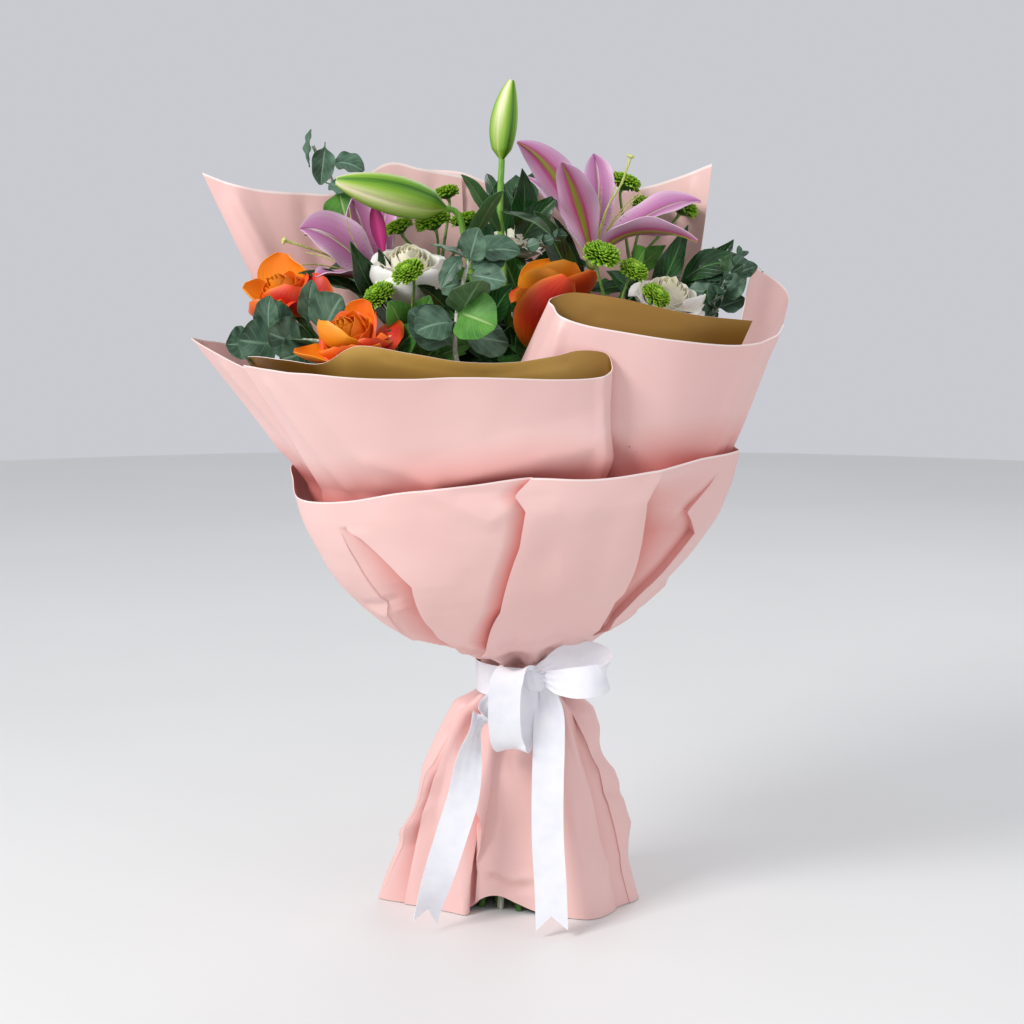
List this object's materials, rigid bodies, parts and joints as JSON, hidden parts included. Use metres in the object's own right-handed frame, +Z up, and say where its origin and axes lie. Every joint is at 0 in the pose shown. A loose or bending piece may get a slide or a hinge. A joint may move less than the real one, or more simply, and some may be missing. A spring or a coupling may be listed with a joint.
{
  "type": "mixed flower bouquet",
  "caption": "Hand-tied bouquet of roses, lilies, buttons and eucalyptus in pink paper, tied with white ribbon, standing on its cut stems.",
  "frame": {"origin": "on the ground, at the middle of the cut end of the stem in the middle of the tie", "axes": "+X to the right seen from the front, +Y away from the front, +Z up"},
  "size_m": [0.4691, 0.2726, 0.6611],
  "materials": {
    "paper": "matte, pink outside and gold inside",
    "ribbon": "satin",
    "twine": "matte",
    "orange_petal": "soft",
    "white_petal": "soft",
    "lily_petal": "soft",
    "bud_green": "satin",
    "button_green": "soft",
    "grey_green_leaf": "matte",
    "dark_leaf": "glossy",
    "stem_green": "satin"
  },
  "bodies": {
    "root": {"bloom_lily_1": "lily_petal", "bloom_lily_2": "lily_petal", "bloom_orange_1": "orange_petal", "bloom_orange_2": "orange_petal", "bloom_orange_3": "orange_petal", "bloom_white_1": "white_petal", "bloom_white_2": "white_petal", "bloom_white_3": "white_petal", "bud_lily_1": "bud_green", "bud_lily_2": "bud_green", "button_1": "button_green", "button_10": "button_green", "button_11": "button_green", "button_12": "button_green", "button_2": "button_green", "button_3": "button_green", "button_4": "button_green", "button_5": "button_green", "button_6": "button_green", "button_7": "button_green", "button_8": "button_green", "button_9": "button_green", "outer_wrap": "paper", "paper_back_left": "paper", "paper_back_right": "paper", "paper_front_left": "paper", "paper_front_right": "paper", "paper_left_side": "paper", "paper_right_side": "paper", "ribbon": "ribbon", "stem_eucalyptus_1": "grey_green_leaf", "stem_eucalyptus_2": "grey_green_leaf", "stem_eucalyptus_3": "grey_green_leaf", "stem_eucalyptus_4": "grey_green_leaf", "stem_foliage": "dark_leaf", "stem_lily_1": "stem_green", "stem_lily_2": "stem_green", "stem_lily_bud_1": "stem_green", "stem_lily_bud_2": "stem_green", "stem_rose_orange_1": "stem_green", "stem_rose_orange_2": "stem_green", "stem_rose_orange_3": "stem_green", "stem_rose_white_1": "stem_green", "stem_rose_white_2": "stem_green", "stem_rose_white_3": "stem_green", "stem_spray_1": "stem_green", "stem_spray_2": "stem_green", "stem_spray_3": "stem_green", "stem_spray_4": "stem_green", "twine": "twine"}
  },
  "joints": []
}
